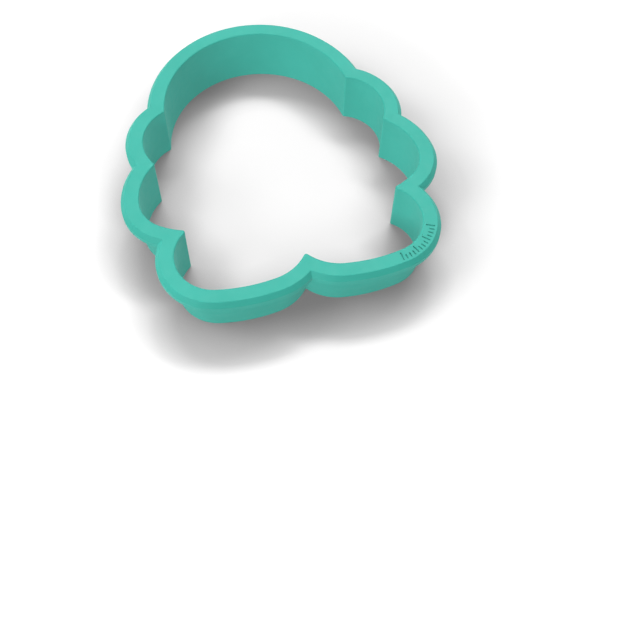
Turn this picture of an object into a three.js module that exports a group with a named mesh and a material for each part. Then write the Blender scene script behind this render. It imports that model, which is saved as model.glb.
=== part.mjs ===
// Figure-shaped cookie cutter: a bevelled grip rim, an upright wall below it and a tapered cutting edge.
// All three follow one plan outline of round lobes (head, pack, arm and foot), mirrored about x = 0.
// Millimetres, +Z up. The cutting edge stands on z = 0, the head points along +Y.
import * as THREE from 'three';

// Plan outline, on the inner face of the wall
const HEAD_RADIUS = 32;
const SIDE_LINE = 27.2; // distance of the stacked side lobes from the centre line
const PACK_DROP = 9.3; // head centre down to pack centre
const PACK_RADIUS = 14;
const SHOULDER_DROP = 23.3; // pack centre down to shoulder centre
const SHOULDER_RADIUS = 19.3;
const ARM_DROP = 13.4; // shoulder centre down to the lowest point of the palm
const PALM_RADIUS = 25;
const HAND_RADIUS = 11; // rounds the corner between shoulder and palm
const FOOT_OVERLAP = 2.5; // depth by which the foot lobe runs into the arm lobe
const HEEL_RADIUS = 12.6;
const TOE_RISE = 3; // heel centre up to toe centre
const TOE_RADIUS = 16;
const TOE_OVERLAP = 2.8; // depth by which each toe runs past the centre line
const SOLE_RADIUS = 54.2; // flat arc round heel and toe
const RIDGE_RADIUS = 0.85; // inner ridges between lobes
const NOTCH_RADIUS = 0.3; // outer notches between lobes

// Cross-section of the ring; thicknesses are measured outwards from the plan outline
const EDGE_HEIGHT = 9;
const EDGE_THICKNESS = 0.8;
const WALL_HEIGHT = 7.5;
const WALL_THICKNESS = 2;
const RIM_HEIGHT = 3.6;
const RIM_WIDTH = 6;
const BEVEL_WIDTH = 1.3; // slope round the rim's upper outside
const BEVEL_HEIGHT = 1.6;
const RIM_CHAMFER = 0.35; // breaks the rim's other edges

// Steps along the round of one notch
const NOTCH_STEPS = 4;

const TEAL = new THREE.MeshStandardMaterial({ color: 0x54c8b7, roughness: 0.45, metalness: 0 });

// The crossing of two circles that lies to the left of the way from a to b.
function crossing(a, radiusA, b, radiusB) {
  const way = b.clone().sub(a);
  const gap = way.length();
  way.divideScalar(gap);
  const along = (gap * gap + radiusA * radiusA - radiusB * radiusB) / (2 * gap);
  const across = Math.sqrt(radiusA * radiusA - along * along);
  return new THREE.Vector2(
    a.x + way.x * along - way.y * across,
    a.y + way.y * along + way.x * across,
  );
}

// Centre of a circle of the given radius that touches circles a and b from inside or from outside.
function touchingCentre(a, b, radius) {
  return crossing(a.centre, Math.abs(a.radius - radius), b.centre, Math.abs(b.radius - radius));
}

// The circles of the right half, clockwise from crown to crotch, with the steps along each arc.
// A lobe marked notched meets the next one in a notch; the others run on smoothly.
function lobesOfRightHalf() {
  const onSideLine = (y) => new THREE.Vector2(SIDE_LINE, y);
  const head = { centre: new THREE.Vector2(0, 0), radius: HEAD_RADIUS, steps: 20, notched: true };
  const pack = { centre: onSideLine(-PACK_DROP), radius: PACK_RADIUS, steps: 14, notched: true };
  const shoulder = { centre: onSideLine(pack.centre.y - SHOULDER_DROP), radius: SHOULDER_RADIUS, steps: 8 };
  const armBottom = shoulder.centre.y - ARM_DROP;
  const palm = { centre: onSideLine(armBottom + PALM_RADIUS), radius: PALM_RADIUS, steps: 6, notched: true };
  const hand = { centre: touchingCentre(palm, shoulder, HAND_RADIUS), radius: HAND_RADIUS, steps: 8 };
  const heel = { centre: onSideLine(armBottom + FOOT_OVERLAP - HEEL_RADIUS), radius: HEEL_RADIUS, steps: 16 };
  const toeCentre = new THREE.Vector2(TOE_RADIUS - TOE_OVERLAP, heel.centre.y + TOE_RISE);
  const toe = { centre: toeCentre, radius: TOE_RADIUS, steps: 12 };
  const sole = { centre: touchingCentre(toe, heel, SOLE_RADIUS), radius: SOLE_RADIUS, steps: 6 };
  return [head, pack, shoulder, hand, palm, heel, sole, toe];
}

// Points along an arc, without its end point. A negative turn runs clockwise.
function arcPoints(centre, radius, from, to, turn, steps) {
  const sweep = turn * THREE.MathUtils.euclideanModulo((to - from) * turn, 2 * Math.PI);
  const points = [];
  for (let i = 0; i < steps; i++) {
    const angle = from + sweep * (i / steps);
    points.push(new THREE.Vector2(
      centre.x + radius * Math.cos(angle),
      centre.y + radius * Math.sin(angle),
    ));
  }
  return points;
}

const bearing = (from, to) => Math.atan2(to.y - from.y, to.x - from.x);

// Right half of the outline, grown outwards by grow, with its notches rounded to the given radius.
function rightHalf(grow, round) {
  const lobes = lobesOfRightHalf().map((lobe) => ({ ...lobe, radius: lobe.radius + grow }));
  const points = [];
  let from = Math.PI / 2;
  lobes.forEach((lobe, i) => {
    const next = lobes[i + 1];
    if (next && !lobe.notched) {
      const [large, small] = lobe.radius > next.radius ? [lobe, next] : [next, lobe];
      const to = bearing(large.centre, small.centre);
      points.push(...arcPoints(lobe.centre, lobe.radius, from, to, -1, lobe.steps));
      from = to;
      return;
    }
    const mirrored = { centre: new THREE.Vector2(-lobe.centre.x, lobe.centre.y), radius: lobe.radius };
    const other = next ?? mirrored;
    const notch = crossing(lobe.centre, lobe.radius + round, other.centre, other.radius + round);
    points.push(...arcPoints(lobe.centre, lobe.radius, from, bearing(lobe.centre, notch), -1, lobe.steps));
    const notchEnd = next ? bearing(notch, next.centre) : Math.PI / 2;
    points.push(...arcPoints(notch, round, bearing(notch, lobe.centre), notchEnd, 1, NOTCH_STEPS));
    if (next) {
      from = bearing(next.centre, notch);
    } else {
      points.push(new THREE.Vector2(0, notch.y + round));
    }
  });
  return points;
}

// The whole outline, clockwise from the crown, lifted to height z.
function ring(grow, round, z) {
  const right = rightHalf(grow, round);
  const left = right.slice(1, -1).reverse().map((point) => new THREE.Vector2(-point.x, point.y));
  return [...right, ...left].map((point) => new THREE.Vector3(point.x, point.y, z));
}

const innerRing = (z, inset = 0) => ring(inset, RIDGE_RADIUS, z);
const outerRing = (thickness, z) => ring(thickness, NOTCH_RADIUS, z);

// Closed solid through rings that go up the outside and come down the inside.
function loft(rings) {
  const count = rings[0].length;
  const indices = [];
  rings.forEach((_, k) => {
    const here = k * count;
    const there = ((k + 1) % rings.length) * count;
    for (let i = 0; i < count; i++) {
      const j = (i + 1) % count;
      indices.push(here + i, there + i, here + j, here + j, there + i, there + j);
    }
  });
  const geometry = new THREE.BufferGeometry().setFromPoints(rings.flat());
  geometry.setIndex(indices);
  geometry.computeVertexNormals();
  return geometry;
}

function subPart(name, rings) {
  const mesh = new THREE.Mesh(loft(rings), TEAL);
  mesh.name = name;
  return mesh;
}

const WALL_BOTTOM = EDGE_HEIGHT;
const RIM_BOTTOM = WALL_BOTTOM + WALL_HEIGHT;
const RIM_TOP = RIM_BOTTOM + RIM_HEIGHT;

// Blade that tapers on its outside to a narrow flat land.
function cuttingEdge() {
  return subPart('cutting_edge', [
    outerRing(EDGE_THICKNESS, 0),
    outerRing(WALL_THICKNESS, EDGE_HEIGHT),
    innerRing(EDGE_HEIGHT),
    innerRing(0),
  ]);
}

// Upright wall that carries the rim.
function cuttingWall() {
  return subPart('cutting_wall', [
    outerRing(WALL_THICKNESS, WALL_BOTTOM),
    outerRing(WALL_THICKNESS, RIM_BOTTOM),
    innerRing(RIM_BOTTOM),
    innerRing(WALL_BOTTOM),
  ]);
}

// Flange that the hand presses on, flush with the wall inside, overhanging and bevelled outside.
function gripRim() {
  return subPart('grip_rim', [
    outerRing(RIM_WIDTH - RIM_CHAMFER, RIM_BOTTOM),
    outerRing(RIM_WIDTH, RIM_BOTTOM + RIM_CHAMFER),
    outerRing(RIM_WIDTH, RIM_TOP - BEVEL_HEIGHT),
    outerRing(RIM_WIDTH - BEVEL_WIDTH, RIM_TOP),
    innerRing(RIM_TOP, RIM_CHAMFER),
    innerRing(RIM_TOP - RIM_CHAMFER),
    innerRing(RIM_BOTTOM),
  ]);
}

const cutter = new THREE.Group();
cutter.add(gripRim(), cuttingWall(), cuttingEdge());

// The origin lies under the middle of the plan.
const extent = new THREE.Box3().setFromObject(cutter);
cutter.position.y = -extent.getCenter(new THREE.Vector3()).y;

export default cutter;
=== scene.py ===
"""Looks of the figure-shaped cookie cutter: a lobed outline swept along rounded sections, in plastic."""
import math

import bmesh
import bpy
from mathutils import Matrix, Vector


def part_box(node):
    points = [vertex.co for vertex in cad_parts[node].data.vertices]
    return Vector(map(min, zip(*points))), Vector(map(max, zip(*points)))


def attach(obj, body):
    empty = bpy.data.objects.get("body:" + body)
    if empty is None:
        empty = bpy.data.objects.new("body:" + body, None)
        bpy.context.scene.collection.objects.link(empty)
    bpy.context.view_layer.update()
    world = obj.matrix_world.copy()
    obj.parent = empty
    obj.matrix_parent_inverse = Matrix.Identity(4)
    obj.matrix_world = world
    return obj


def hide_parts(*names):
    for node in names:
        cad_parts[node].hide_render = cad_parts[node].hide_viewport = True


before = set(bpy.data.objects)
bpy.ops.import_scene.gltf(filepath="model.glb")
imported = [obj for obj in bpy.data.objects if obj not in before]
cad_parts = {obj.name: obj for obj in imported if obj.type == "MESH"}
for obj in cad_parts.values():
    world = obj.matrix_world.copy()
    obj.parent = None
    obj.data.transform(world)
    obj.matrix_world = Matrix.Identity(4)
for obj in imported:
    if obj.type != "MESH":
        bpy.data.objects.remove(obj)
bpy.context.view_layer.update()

MM = 0.001

# Plan outline on the inner face of the wall, in millimetres
HEAD_RADIUS = 32
SIDE_LINE = 27.2
PACK_DROP = 9.3
PACK_RADIUS = 14
SHOULDER_DROP = 23.3
SHOULDER_RADIUS = 19.3
ARM_DROP = 13.4
PALM_RADIUS = 25
HAND_RADIUS = 11
FOOT_OVERLAP = 2.5
HEEL_RADIUS = 12.6
TOE_RISE = 3
TOE_RADIUS = 16
TOE_OVERLAP = 2.8
SOLE_RADIUS = 54.2
RIDGE_RADIUS = 0.85
NOTCH_RADIUS = 0.3

# Section, in millimetres outwards from the plan outline
EDGE_THICKNESS = 0.8
WALL_THICKNESS = 2
RIM_WIDTH = 6
BEVEL_WIDTH = 1.3
BEVEL_HEIGHT = 1.6
BEVEL_ROUND = 0.3
RIM_UNDER_ROUND = 0.35
RIM_INNER_ROUND = 0.45
LAND_ROUND = 0.15
ROOT_FILLET = 0.5
TAPER_BLEND = 2

# Heights of the three bands, from the frame
EDGE_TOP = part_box("cutting_edge")[1].z / MM
RIM_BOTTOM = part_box("grip_rim")[0].z / MM
RIM_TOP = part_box("grip_rim")[1].z / MM
CROWN_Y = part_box("grip_rim")[1].y / MM

# Row of engraved ticks on the rim of the right foot, at bearings in degrees about the heel's centre
TICK_COUNT = 13
TICK_FIRST = -84
TICK_LAST = -24
TICK_LONG_EVERY = 4
TICK_OUTER = HEEL_RADIUS + 4
TICK_LONG = 3
TICK_SHORT = 1.8
TICK_WIDTH = 0.55
TICK_DEPTH = 0.5

# Plastic: ends of its clouded tint and of its roughness, and the specular level
PLASTIC_DARK = (0.047, 0.495, 0.398, 1)
PLASTIC_LIGHT = (0.053, 0.533, 0.432, 1)
PLASTIC_SMOOTHEST = 0.51
PLASTIC_ROUGHEST = 0.6
PLASTIC_SPECULAR = 0.3

# Range that noise mostly fills
NOISE_LOW = 0.3
NOISE_HIGH = 0.7

# Floor's radius in metres and its grey
FLOOR_RADIUS = 3
FLOOR_GREY = 0.99

# Glow that the floor shows but doesn't shed, and the distances in metres over which it rises to white
FLOOR_LIFT = 0.03
FLOOR_NEAR = 0.06
FLOOR_FAR = 0.3

# Painted shade in the floor's colour close to the object: reach in metres, darkest grey, and how open the
# floor is there
SHADE_REACH = 0.02
SHADE_LEAST = 0.45
SHADE_OPENNESS = 0.4

# Light that the surround sheds on the scene from above and from below, and where it is full below
LIGHT_ABOVE = 0.22
LIGHT_BELOW = 0.95
BELOW_HORIZON = -0.02

# Camera, fitted to the photograph
FRAME_PIXELS = 640
FOCAL_PIXELS = 934.96
CAMERA_AZIMUTH = -17.464
CAMERA_ELEVATION = 61.247
CAMERA_ROLL = 2.657
CAMERA_DISTANCE = 289.8
CAMERA_TARGET = Vector((-0.19, -62.53, 10))

# Fineness of the meshes
LOBE_STEP = 0.5
LEAST_STEPS = 6
NOTCH_STEPS = 8
ROUND_STEPS = 6
SHARP_ANGLE = math.radians(40)


class Lobe:
    """One circle of the plan; a notched lobe meets the next in a notch, others run on smoothly."""

    def __init__(self, centre, radius, notched=False):
        self.centre = Vector(centre)
        self.radius = radius
        self.notched = notched


def crossing(a, radius_a, b, radius_b):
    """The crossing of two circles that lies to the left of the way from a to b."""
    way = b - a
    gap = way.length
    way = way / gap
    along = (gap * gap + radius_a * radius_a - radius_b * radius_b) / (2 * gap)
    across = math.sqrt(radius_a * radius_a - along * along)
    return a + way * along + Vector((-way.y, way.x)) * across


def touching_centre(a, b, radius):
    """Centre of a circle that touches lobes a and b from inside or from outside."""
    return crossing(a.centre, abs(a.radius - radius), b.centre, abs(b.radius - radius))


def lobes_of_right_half():
    """The circles of the right half, clockwise from crown to crotch."""
    head = Lobe((0, CROWN_Y - RIM_WIDTH - HEAD_RADIUS), HEAD_RADIUS, notched=True)
    pack = Lobe((SIDE_LINE, head.centre.y - PACK_DROP), PACK_RADIUS, notched=True)
    shoulder = Lobe((SIDE_LINE, pack.centre.y - SHOULDER_DROP), SHOULDER_RADIUS)
    arm_bottom = shoulder.centre.y - ARM_DROP
    palm = Lobe((SIDE_LINE, arm_bottom + PALM_RADIUS), PALM_RADIUS, notched=True)
    hand = Lobe(touching_centre(palm, shoulder, HAND_RADIUS), HAND_RADIUS)
    heel = Lobe((SIDE_LINE, arm_bottom + FOOT_OVERLAP - HEEL_RADIUS), HEEL_RADIUS)
    toe = Lobe((TOE_RADIUS - TOE_OVERLAP, heel.centre.y + TOE_RISE), TOE_RADIUS, notched=True)
    sole = Lobe(touching_centre(toe, heel, SOLE_RADIUS), SOLE_RADIUS)
    return [head, pack, shoulder, hand, palm, heel, sole, toe]


LOBES = lobes_of_right_half()
HEEL_CENTRE = next(lobe.centre for lobe in LOBES if lobe.radius == HEEL_RADIUS)


def bearing(start, end):
    return math.atan2(end.y - start.y, end.x - start.x)


def polar(centre, radius, angle):
    return centre + radius * Vector((math.cos(angle), math.sin(angle)))


def arc(centre, radius, start, end, turn, steps):
    """Points along an arc without its end point; turn is 1 for anticlockwise and -1 for clockwise."""
    sweep = turn * ((turn * (end - start)) % math.tau)
    return [polar(centre, radius, start + sweep * i / steps) for i in range(steps)]


def next_lobe(i):
    """The lobe after lobe i; after the last one, its mirror image across the centre line."""
    if i + 1 < len(LOBES):
        return LOBES[i + 1]
    return Lobe((-LOBES[i].centre.x, LOBES[i].centre.y), LOBES[i].radius)


def tangent_bearing(a, b):
    """Bearing at which two touching lobes run on into each other."""
    large, small = sorted((a, b), key=lambda lobe: -lobe.radius)
    return bearing(large.centre, small.centre)


def steps_of_lobes():
    """Steps along each lobe, so that they are about LOBE_STEP long."""
    sweeps = []
    start = math.pi / 2
    for i, lobe in enumerate(LOBES):
        following = next_lobe(i)
        if lobe.notched:
            meet = crossing(lobe.centre, lobe.radius, following.centre, following.radius)
            end = bearing(lobe.centre, meet)
        else:
            end = tangent_bearing(lobe, following)
            meet = polar(lobe.centre, lobe.radius, end)
        sweeps.append((start - end) % math.tau)
        start = bearing(following.centre, meet)
    return [max(LEAST_STEPS, round(sweep * lobe.radius / LOBE_STEP)) for sweep, lobe in zip(sweeps, LOBES)]


LOBE_STEPS = steps_of_lobes()


def right_half(grow):
    """Right half of the outline, grown outwards, from the crown to the crotch."""
    round_off = max(RIDGE_RADIUS - grow, NOTCH_RADIUS)
    points = []
    start = math.pi / 2
    for i, lobe in enumerate(LOBES):
        following = next_lobe(i)
        radius = lobe.radius + grow
        if not lobe.notched:
            end = tangent_bearing(lobe, following)
            points += arc(lobe.centre, radius, start, end, -1, LOBE_STEPS[i])
            start = end
            continue
        reach = following.radius + grow + round_off
        notch = crossing(lobe.centre, radius + round_off, following.centre, reach)
        points += arc(lobe.centre, radius, start, bearing(lobe.centre, notch), -1, LOBE_STEPS[i])
        last = i == len(LOBES) - 1
        notch_end = math.pi / 2 if last else bearing(notch, following.centre)
        points += arc(notch, round_off, bearing(notch, lobe.centre), notch_end, 1, NOTCH_STEPS)
        start = bearing(following.centre, notch)
    points.append(polar(notch, round_off, math.pi / 2))
    return points


def ring(grow, height):
    """The whole outline, clockwise from the crown, in metres."""
    right = right_half(grow)
    left = [Vector((-point.x, point.y)) for point in reversed(right[1:-1])]
    return [Vector((point.x, point.y, height)) * MM for point in right + left]


def rounded_corner(before, corner, after, radius):
    """Points of a corner of the section, rounded to the radius."""
    if not radius:
        return [corner]
    to_before = (before - corner).normalized()
    to_after = (after - corner).normalized()
    half = to_before.angle(to_after) / 2
    centre = corner + (to_before + to_after).normalized() * radius / math.sin(half)
    first = corner + to_before * radius / math.tan(half) - centre
    last = corner + to_after * radius / math.tan(half) - centre
    return [centre + radius * first.slerp(last, i / ROUND_STEPS) for i in range(ROUND_STEPS + 1)]


def section(corners):
    """Closed section through (outwards, height, round) corners, up the outside and down the inside."""
    points = []
    for i, (out, height, radius) in enumerate(corners):
        before = Vector(corners[i - 1][:2])
        after = Vector(corners[(i + 1) % len(corners)][:2])
        points += rounded_corner(before, Vector((out, height)), after, radius)
    return points


def taper_blend(start, end):
    """Part of the soft bend between the tapered edge and the upright wall, as section corners."""
    slope = (WALL_THICKNESS - EDGE_THICKNESS) / EDGE_TOP
    low = Vector((WALL_THICKNESS - slope * TAPER_BLEND, EDGE_TOP - TAPER_BLEND))
    middle = Vector((WALL_THICKNESS, EDGE_TOP))
    high = Vector((WALL_THICKNESS, EDGE_TOP + TAPER_BLEND))
    corners = []
    for i in range(ROUND_STEPS + 1):
        t = start + (end - start) * i / ROUND_STEPS
        point = low * (1 - t) ** 2 + middle * 2 * t * (1 - t) + high * t ** 2
        corners.append((point.x, point.y, 0))
    return corners


def swept(name, corners, material):
    """Closed ring of the given section along the outline, as a new object."""
    mesh = bmesh.new()
    rows = [[mesh.verts.new(place) for place in ring(point.x, point.y)] for point in section(corners)]
    for k in range(len(rows)):
        here, there = rows[k - 1], rows[k]
        for i in range(len(here)):
            mesh.faces.new((here[i - 1], there[i - 1], there[i], here[i]))
    return finished(name, mesh, material)


def finished(name, mesh, material):
    """Object made from a bmesh."""
    data = bpy.data.meshes.new(name)
    data.materials.append(material)
    mesh.to_mesh(data)
    mesh.free()
    piece = bpy.data.objects.new(name, data)
    bpy.context.collection.objects.link(piece)
    return piece


def smooth(piece):
    piece.data.shade_smooth()
    piece.data.set_sharp_from_angle(angle=SHARP_ANGLE)
    weighted = piece.modifiers.new("weighted normals", "WEIGHTED_NORMAL")
    weighted.keep_sharp = True


def tick_outline(angle, length):
    """Plan of one engraved tick: a bar across the rim with round ends."""
    out = Vector((math.cos(angle), math.sin(angle)))
    half = TICK_WIDTH / 2
    outer_end = HEEL_CENTRE + out * (TICK_OUTER - half)
    inner_end = HEEL_CENTRE + out * (TICK_OUTER - length + half)
    points = []
    for end, facing in ((outer_end, angle), (inner_end, angle + math.pi)):
        for i in range(ROUND_STEPS + 1):
            points.append(polar(end, half, facing - math.pi / 2 + math.pi * i / ROUND_STEPS))
    return points


def tick_cutter(material):
    """Solid bars that are cut out of the rim's top face."""
    mesh = bmesh.new()
    for i in range(TICK_COUNT):
        angle = math.radians(TICK_FIRST + (TICK_LAST - TICK_FIRST) * i / (TICK_COUNT - 1))
        length = TICK_SHORT if i % TICK_LONG_EVERY else TICK_LONG
        outline = tick_outline(angle, length)
        low = [mesh.verts.new(Vector((p.x, p.y, RIM_TOP - TICK_DEPTH)) * MM) for p in outline]
        high = [mesh.verts.new(Vector((p.x, p.y, RIM_TOP + TICK_DEPTH)) * MM) for p in outline]
        mesh.faces.new(reversed(low))
        mesh.faces.new(high)
        for k in range(len(outline)):
            n = (k + 1) % len(outline)
            mesh.faces.new((low[k], low[n], high[n], high[k]))
    return finished("tick_cutter", mesh, material)


def engrave(piece, cutter):
    """Cuts the cutter out of the piece and removes the cutter."""
    cut = piece.modifiers.new("engraved ticks", "BOOLEAN")
    cut.operation = "DIFFERENCE"
    cut.solver = "EXACT"
    cut.object = cutter
    bpy.context.view_layer.update()
    evaluated = piece.evaluated_get(bpy.context.evaluated_depsgraph_get())
    piece.data = bpy.data.meshes.new_from_object(evaluated)
    piece.modifiers.clear()
    bpy.data.objects.remove(cutter)


def rim(plastic):
    """Flange with a bevel round its upper outside and a row of engraved ticks."""
    corners = [
        (RIM_WIDTH, RIM_BOTTOM, RIM_UNDER_ROUND),
        (RIM_WIDTH, RIM_TOP - BEVEL_HEIGHT, BEVEL_ROUND),
        (RIM_WIDTH - BEVEL_WIDTH, RIM_TOP, BEVEL_ROUND),
        (0, RIM_TOP, RIM_INNER_ROUND),
        (0, RIM_BOTTOM, 0),
    ]
    piece = swept("rim", corners, plastic)
    engrave(piece, tick_cutter(plastic))
    return piece


def wall(plastic):
    """Upright wall with a fillet under the rim."""
    fillet = []
    for i in range(ROUND_STEPS + 1):
        t = math.pi / 2 * i / ROUND_STEPS
        out = WALL_THICKNESS + ROOT_FILLET * (1 - math.cos(t))
        fillet.append((out, RIM_BOTTOM - ROOT_FILLET * (1 - math.sin(t)), 0))
    corners = taper_blend(0.5, 1) + fillet + [(0, RIM_BOTTOM, 0), (0, EDGE_TOP, 0)]
    return swept("wall", corners, plastic)


def edge(plastic):
    """Blade that tapers on its outside to a narrow land."""
    outside = [(EDGE_THICKNESS, 0, LAND_ROUND)] + taper_blend(0, 0.5)
    return swept("edge", outside + [(0, EDGE_TOP, 0), (0, 0, LAND_ROUND)], plastic)


def node(tree, kind, **inputs):
    """New shader node with the given input values."""
    made = tree.nodes.new(kind)
    for key, value in inputs.items():
        made.inputs[key.replace("_", " ")].default_value = value
    return made


def combined(tree, operation, a, b):
    """Output of a math node on two outputs."""
    made = tree.nodes.new("ShaderNodeMath")
    made.operation = operation
    tree.links.new(a, made.inputs[0])
    tree.links.new(b, made.inputs[1])
    return made.outputs["Value"]


def ranged(tree, value, **inputs):
    """Output of a map range node on an output."""
    made = node(tree, "ShaderNodeMapRange", **inputs)
    tree.links.new(value, made.inputs["Value"])
    return made.outputs["Result"]


def noise(tree, **inputs):
    """Output of noise over the piece's own coordinates."""
    place = tree.nodes.new("ShaderNodeTexCoord")
    made = node(tree, "ShaderNodeTexNoise", **inputs)
    tree.links.new(place.outputs["Object"], made.inputs["Vector"])
    return made.outputs["Fac"]


def seen_by_camera(tree):
    """Output that is 1 for what the camera sees, mirrored or through glass too, and else 0."""
    rays = tree.nodes.new("ShaderNodeLightPath")
    glossy, through = rays.outputs["Is Glossy Ray"], rays.outputs["Is Transmission Ray"]
    indirect = combined(tree, "MAXIMUM", glossy, through)
    return combined(tree, "MAXIMUM", rays.outputs["Is Camera Ray"], indirect)


def teal_plastic():
    """Plastic coloured right through: faint clouding, fine moulded texture and uneven sheen."""
    material = bpy.data.materials.new("teal_plastic")
    material.use_nodes = True
    tree = material.node_tree
    shader = tree.nodes["Principled BSDF"]
    shader.inputs["Specular IOR Level"].default_value = PLASTIC_SPECULAR

    tint = tree.nodes.new("ShaderNodeValToRGB")
    tint.color_ramp.elements[0].position = NOISE_LOW
    tint.color_ramp.elements[0].color = PLASTIC_DARK
    tint.color_ramp.elements[1].position = NOISE_HIGH
    tint.color_ramp.elements[1].color = PLASTIC_LIGHT
    tree.links.new(noise(tree, Scale=70, Detail=3, Roughness=0.55), tint.inputs["Fac"])
    tree.links.new(tint.outputs["Color"], shader.inputs["Base Color"])

    sheen = noise(tree, Scale=420, Detail=2)
    ends = {"To_Min": PLASTIC_SMOOTHEST, "To_Max": PLASTIC_ROUGHEST}
    roughness = ranged(tree, sheen, From_Min=NOISE_LOW, From_Max=NOISE_HIGH, **ends)
    tree.links.new(roughness, shader.inputs["Roughness"])

    bump = node(tree, "ShaderNodeBump", Strength=0.12, Distance=0.00004)
    tree.links.new(noise(tree, Scale=2600, Detail=2, Roughness=0.6), bump.inputs["Height"])
    tree.links.new(bump.outputs["Normal"], shader.inputs["Normal"])
    return material


def pale_floor():
    """Wide matt white floor, plain white to the camera away from the object and its shadow, with painted
    shade in its colour close to the object.
    """
    bpy.ops.mesh.primitive_circle_add(vertices=96, radius=FLOOR_RADIUS, fill_type="NGON")
    floor = bpy.context.object
    floor.name = "floor"
    material = bpy.data.materials.new("floor_white")
    material.use_nodes = True
    tree = material.node_tree
    shader = tree.nodes["Principled BSDF"]
    # Painted shade: ambient occlusion darkens the floor's colour close to the object
    contact = node(tree, "ShaderNodeAmbientOcclusion", Distance=SHADE_REACH)
    openness = contact.outputs["AO"]
    grey = ranged(tree, openness, From_Min=SHADE_OPENNESS, To_Min=SHADE_LEAST, To_Max=FLOOR_GREY)
    tree.links.new(grey, shader.inputs["Base Color"])
    shader.inputs["Roughness"].default_value = 0.9
    shader.inputs["Specular IOR Level"].default_value = 0
    shader.inputs["Emission Color"].default_value = (1, 1, 1, 1)
    place = tree.nodes.new("ShaderNodeTexCoord")
    away = tree.nodes.new("ShaderNodeVectorMath")
    away.operation = "LENGTH"
    tree.links.new(place.outputs["Object"], away.inputs[0])
    distance = away.outputs["Value"]
    glow = ranged(tree, distance, From_Min=FLOOR_NEAR, From_Max=FLOOR_FAR, To_Min=FLOOR_LIFT)
    seen_glow = combined(tree, "MULTIPLY", seen_by_camera(tree), glow)
    tree.links.new(seen_glow, shader.inputs["Emission Strength"])
    floor.data.materials.append(material)
    # The surround lights the object from below instead, so the floor's shadow doesn't darken the walls
    floor.visible_diffuse = False


def white_surround():
    """White surround that lights the walls from below, as a white floor does."""
    world = bpy.data.worlds.new("studio")
    bpy.context.scene.world = world
    world.use_nodes = True
    tree = world.node_tree
    background = tree.nodes["Background"]
    background.inputs["Color"].default_value = (1, 1, 1, 1)
    place = tree.nodes.new("ShaderNodeTexCoord")
    split = tree.nodes.new("ShaderNodeSeparateXYZ")
    tree.links.new(place.outputs["Generated"], split.inputs["Vector"])
    height = split.outputs["Z"]
    light = ranged(tree, height, From_Max=BELOW_HORIZON, To_Min=LIGHT_ABOVE, To_Max=LIGHT_BELOW)
    level = combined(tree, "MAXIMUM", seen_by_camera(tree), light)
    tree.links.new(level, background.inputs["Strength"])


def soft_box(name, azimuth, elevation, share, distance, wide, tall):
    """Rectangular lamp that faces the origin, azimuth clockwise from +Y seen from above.

    The share is the part of a white floor's full level that it gives at the origin. The distance is in
    metres, and wide and tall are the lamp's apparent size in degrees.
    """
    a, e = math.radians(azimuth), math.radians(elevation)
    half, half_tall = math.radians(wide) / 2, math.radians(tall) / 2
    data = bpy.data.lights.new(name, "AREA")
    data.shape = "RECTANGLE"
    data.size = 2 * distance * math.tan(half)
    data.size_y = 2 * distance * math.tan(half_tall)
    # Lamps this wide light the origin less than a point of the same power
    falloff = (math.cos(half) ** 2 + half / math.tan(half)) / 2
    data.energy = share * (math.pi * distance) ** 2 / math.sin(e) / falloff
    light = bpy.data.objects.new(name, data)
    towards = Vector((math.sin(a) * math.cos(e), math.cos(a) * math.cos(e), math.sin(e)))
    light.location = towards * distance
    light.rotation_mode = "QUATERNION"
    light.rotation_quaternion = towards.to_track_quat("Z", "Y")
    bpy.context.collection.objects.link(light)


def camera():
    """Camera at the photograph's viewing angle."""
    data = bpy.data.cameras.new("camera")
    data.sensor_width = 36
    data.lens = data.sensor_width * FOCAL_PIXELS / FRAME_PIXELS
    data.clip_start = 0.01
    a, e, roll = (math.radians(x) for x in (CAMERA_AZIMUTH, CAMERA_ELEVATION, CAMERA_ROLL))
    back = Vector((math.sin(a) * math.cos(e), -math.cos(a) * math.cos(e), math.sin(e)))
    level = Vector((math.cos(a), math.sin(a), 0))
    upright = back.cross(level)
    right = level * math.cos(roll) + upright * math.sin(roll)
    up = upright * math.cos(roll) - level * math.sin(roll)
    turned = Matrix((right, up, back)).transposed().to_4x4()
    view = bpy.data.objects.new("camera", data)
    view.matrix_world = Matrix.Translation((CAMERA_TARGET + back * CAMERA_DISTANCE) * MM) @ turned
    bpy.context.collection.objects.link(view)
    bpy.context.scene.camera = view


plastic = teal_plastic()
pieces = {"grip_rim": rim(plastic), "cutting_wall": wall(plastic), "cutting_edge": edge(plastic)}
for solid, piece in pieces.items():
    smooth(piece)
    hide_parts(solid)
    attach(piece, "root")
    # Keeps the plastic's colour from spreading onto the floor
    piece.visible_diffuse = False

pale_floor()
white_surround()
soft_box("back_strip", azimuth=9, elevation=59, share=0.25, distance=3, wide=27, tall=8)
soft_box("right_strip", azimuth=44, elevation=55, share=0.21, distance=3, wide=30, tall=8)
soft_box("left_box", azimuth=-89, elevation=48, share=0.2, distance=0.8, wide=28, tall=20)
soft_box("front_left_box", azimuth=-134, elevation=25, share=0.1, distance=1, wide=20, tall=10)
camera()
bpy.context.scene.view_settings.view_transform = "Standard"
